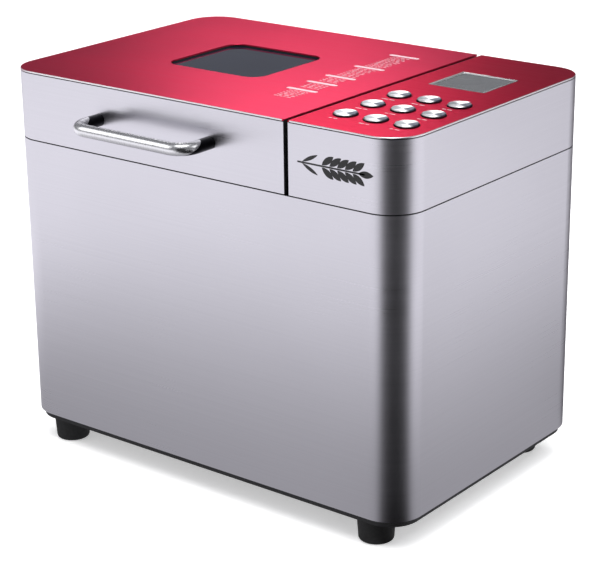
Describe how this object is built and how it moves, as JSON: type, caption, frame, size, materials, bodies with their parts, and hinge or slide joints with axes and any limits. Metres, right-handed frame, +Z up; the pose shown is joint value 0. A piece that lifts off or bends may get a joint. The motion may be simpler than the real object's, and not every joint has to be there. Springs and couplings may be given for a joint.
{
  "type": "bread machine",
  "caption": "Countertop bread machine with a red top, brushed steel casing, hinged window lid with bar handle, push buttons, display, lift-out pan and kneading paddle.",
  "frame": {"origin": "centre of the whole object's footprint, handle and hinges included, on the surface it stands on", "axes": "+Z up, +X to the user's right (the control side), +Y to the back, so the handle faces -Y"},
  "size_m": [0.35, 0.274, 0.2905],
  "materials": {
    "brushed_steel": "horizontally brushed stainless steel",
    "red_anodised": "brushed and red anodised, with a bright bevelled edge",
    "satin_chrome": "satin polished bar",
    "button_metal": "turned face with fine concentric lines",
    "black_plastic": "fine textured moulding",
    "grey_plastic": "plain moulding",
    "black_rubber": "matt",
    "silicone": "matt, heat resistant",
    "plated_steel": "zinc-plated pressed sheet",
    "plain_steel": "turned or drawn, bright",
    "non_stick": "dark non-stick coating",
    "window_glass": "dark tinted, polished",
    "lcd_glass": "grey-green, polished",
    "lcd_panel": "grey-green liquid crystal",
    "circuit_board": "green solder mask",
    "laminations": "stacked electrical steel with varnished coils",
    "die_cast": "as cast",
    "bronze": "sintered, oiled",
    "heater_sheath": "heat-tinted"
  },
  "bodies": {
    "base": {"base_plate": "black_plastic", "casing_screws": "plain_steel", "body_wrap": "brushed_steel", "rear_panel": "black_plastic", "cable_gland": "black_plastic", "deck_frame": "black_plastic", "chamber": "plated_steel", "heating_element": "heater_sheath", "temperature_probe": "plain_steel", "pan_seat": "plated_steel", "pan_clips": "plain_steel", "shaft_housing": "die_cast", "shaft_bushes": "bronze", "drive_belt": "black_rubber", "motor_stator": "laminations", "motor_bracket": "plated_steel", "power_board": "circuit_board", "ribbon_cable": "grey_plastic", "control_board": "circuit_board", "lcd_module": "lcd_panel", "lcd_window": "lcd_glass", "control_skirt": "brushed_steel", "control_frame": "black_plastic", "control_top_plate": "red_anodised", "hinge_brackets": "plated_steel", "hinge_pins": "plain_steel", "foot_front_left": "black_rubber", "foot_front_right": "black_rubber", "foot_back_left": "black_rubber", "foot_back_right": "black_rubber"},
    "lid": {"lid_skirt": "brushed_steel", "lid_frame": "black_plastic", "lid_top_plate": "red_anodised", "lid_liner": "plated_steel", "lid_screws": "plain_steel", "lid_seal": "silicone", "window_bezel": "black_plastic", "window_glass": "window_glass", "window_inner_glass": "window_glass", "lid_handle": "satin_chrome", "lid_hinge_leaves": "plated_steel"},
    "drive": {"drive_shaft": "plain_steel", "driven_pulley": "grey_plastic", "drive_dog": "plain_steel"},
    "motor_rotor": {"motor_shaft": "plain_steel", "motor_pulley": "die_cast"},
    "pan": {"bread_pan": "non_stick", "bail_ears": "plain_steel"},
    "bail": {"pan_bail": "plain_steel"},
    "kneader": {"pan_shaft": "plain_steel", "kneading_paddle": "non_stick"},
    "menu_key": {"button_menu": "button_metal"},
    "loaf_size_key": {"button_loaf_size": "button_metal"},
    "crust_key": {"button_crust": "button_metal"},
    "time_down_key": {"button_time_down": "button_metal"},
    "time_up_key": {"button_time_up": "button_metal"},
    "delay_key": {"button_delay": "button_metal"},
    "light_key": {"button_light": "button_metal"},
    "pause_key": {"button_pause": "button_metal"},
    "start_stop_key": {"button_start_stop": "button_metal"}
  },
  "joints": [
    {"name": "lid_hinge", "type": "hinge", "parent": "base", "child": "lid", "pos_m": [-0.045, 0.132, 0.238], "axis": [-1, 0, 0], "range_deg": [0, 85]},
    {"name": "drive_spin", "type": "hinge", "parent": "base", "child": "drive", "pos_m": [-0.0468, 0.01, 0.044], "axis": [0, 0, 1], "continuous": true},
    {"name": "motor_spin", "type": "hinge", "parent": "base", "child": "motor_rotor", "pos_m": [0.122, 0.01, 0.044], "axis": [0, 0, 1], "continuous": true},
    {"name": "pan_lift", "type": "slide", "parent": "base", "child": "pan", "axis": [0, 0, 1], "range_m": [0, 0.03]},
    {"name": "bail_swing", "type": "hinge", "parent": "pan", "child": "bail", "pos_m": [-0.0468, 0.01, 0.2256], "axis": [-1, 0, 0], "range_deg": [0, 30]},
    {"name": "kneader_spin", "type": "hinge", "parent": "pan", "child": "kneader", "pos_m": [-0.0468, 0.01, 0.095], "axis": [0, 0, 1], "continuous": true},
    {"name": "menu_press", "type": "slide", "parent": "base", "child": "menu_key", "axis": [0, 0, -1], "range_m": [0, 0.0009], "stiffness_N_per_m": 600, "springref_m": -0.0012},
    {"name": "loaf_size_press", "type": "slide", "parent": "base", "child": "loaf_size_key", "axis": [0, 0, -1], "range_m": [0, 0.0009], "stiffness_N_per_m": 600, "springref_m": -0.0012},
    {"name": "crust_press", "type": "slide", "parent": "base", "child": "crust_key", "axis": [0, 0, -1], "range_m": [0, 0.0009], "stiffness_N_per_m": 600, "springref_m": -0.0012},
    {"name": "time_down_press", "type": "slide", "parent": "base", "child": "time_down_key", "axis": [0, 0, -1], "range_m": [0, 0.0009], "stiffness_N_per_m": 600, "springref_m": -0.0012},
    {"name": "time_up_press", "type": "slide", "parent": "base", "child": "time_up_key", "axis": [0, 0, -1], "range_m": [0, 0.0009], "stiffness_N_per_m": 600, "springref_m": -0.0012},
    {"name": "delay_press", "type": "slide", "parent": "base", "child": "delay_key", "axis": [0, 0, -1], "range_m": [0, 0.0009], "stiffness_N_per_m": 600, "springref_m": -0.0012},
    {"name": "light_press", "type": "slide", "parent": "base", "child": "light_key", "axis": [0, 0, -1], "range_m": [0, 0.0009], "stiffness_N_per_m": 600, "springref_m": -0.0012},
    {"name": "pause_press", "type": "slide", "parent": "base", "child": "pause_key", "axis": [0, 0, -1], "range_m": [0, 0.0009], "stiffness_N_per_m": 600, "springref_m": -0.0012},
    {"name": "start_stop_press", "type": "slide", "parent": "base", "child": "start_stop_key", "axis": [0, 0, -1], "range_m": [0, 0.0009], "stiffness_N_per_m": 600, "springref_m": -0.0012}
  ],
  "couplings": [
    {"joint": "motor_spin", "follows": "drive_spin", "ratio": 4.5821},
    {"joint": "kneader_spin", "follows": "drive_spin", "ratio": 1}
  ]
}
